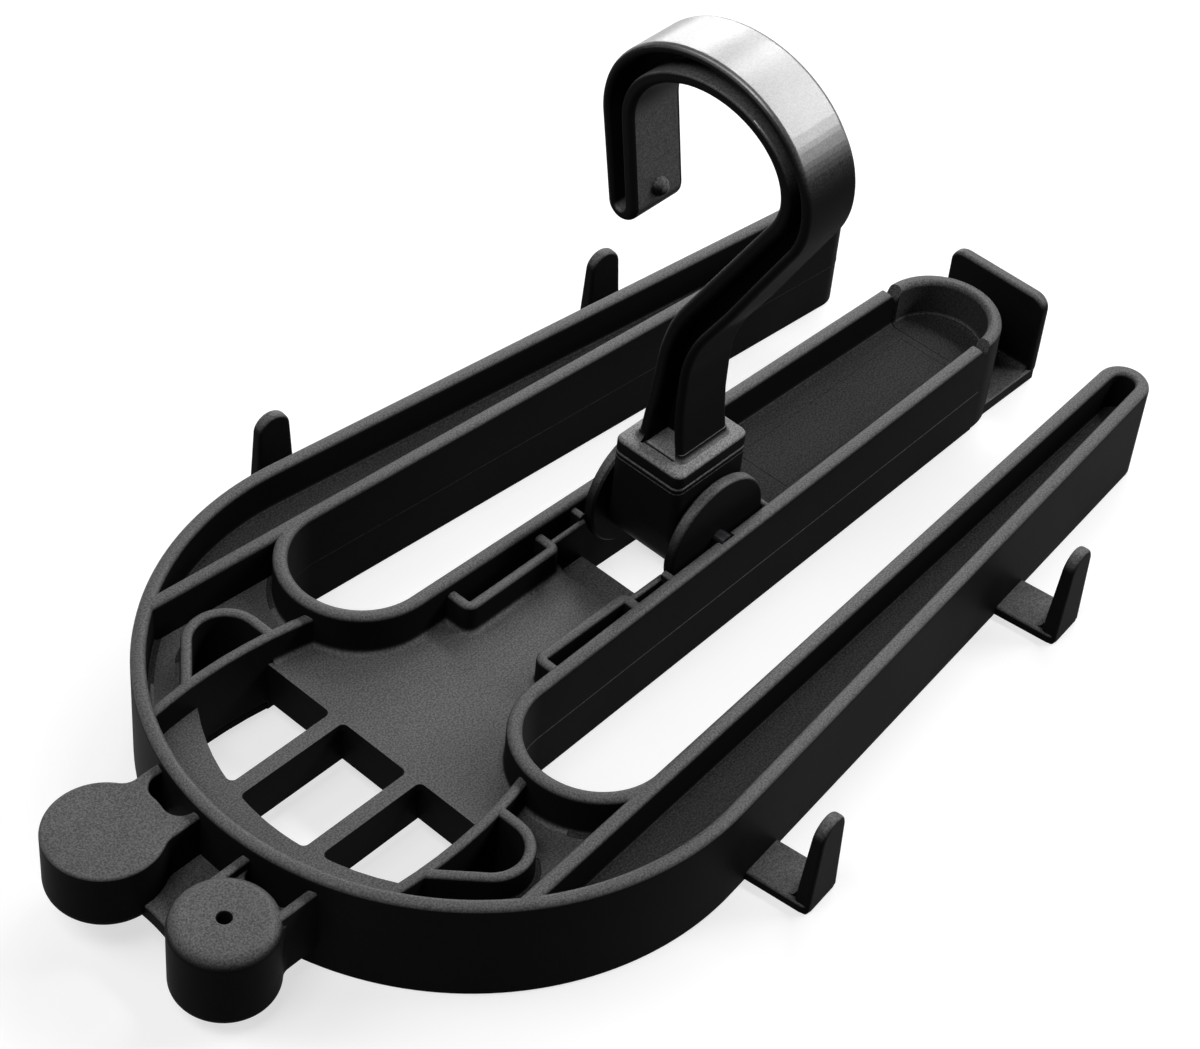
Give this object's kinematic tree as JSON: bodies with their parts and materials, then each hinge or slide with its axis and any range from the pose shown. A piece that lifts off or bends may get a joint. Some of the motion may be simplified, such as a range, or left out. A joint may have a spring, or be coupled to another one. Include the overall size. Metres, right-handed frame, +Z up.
{
  "type": "wetsuit hanger",
  "caption": "Folding wetsuit hanger: U-shaped black frame with two outer arms and a centre arm, garment pegs, nose knobs and an upright hook that swivels and folds flat.",
  "frame": {"origin": "on the base plane, under the middle of the whole length and width", "axes": "+X from the nose with its two knobs to the arms' tips, +Z up along the open hook, +Y towards the left outer arm"},
  "size_m": [0.4542, 0.2692, 0.2385],
  "materials": {
    "frame_plastic": "satin black moulded plastic with a fine grain",
    "tip_plastic": "satin black moulded plastic with a fine grain",
    "peg_plastic": "satin black moulded plastic with a fine grain",
    "knob_plastic": "satin black moulded plastic with a fine grain",
    "block_plastic": "satin black moulded plastic",
    "hook_plastic": "smooth satin black moulded plastic",
    "pin_steel": "blackened steel",
    "washer_steel": "plain steel",
    "screw_steel": "plain steel"
  },
  "bodies": {
    "frame": {"frame": "frame_plastic", "tip_hook": "tip_plastic", "peg_left_front": "peg_plastic", "peg_left_rear": "peg_plastic", "peg_right_front": "peg_plastic", "peg_right_rear": "peg_plastic", "left_knob": "knob_plastic", "right_knob": "knob_plastic"},
    "swivel_block": {"swivel_block": "block_plastic", "pivot_pin": "pin_steel"},
    "hook": {"hook": "hook_plastic", "swivel_washer": "washer_steel", "swivel_screw": "screw_steel"}
  },
  "joints": [
    {"name": "hook_fold", "type": "hinge", "parent": "frame", "child": "swivel_block", "pos_m": [0.0327, 0, 0.0401], "axis": [0, -1, 0], "range_deg": [0, 90]},
    {"name": "hook_swivel", "type": "hinge", "parent": "swivel_block", "child": "hook", "pos_m": [0.0327, 0, 0.0694], "axis": [0, 0, 1], "range_deg": [-180, 180]}
  ]
}
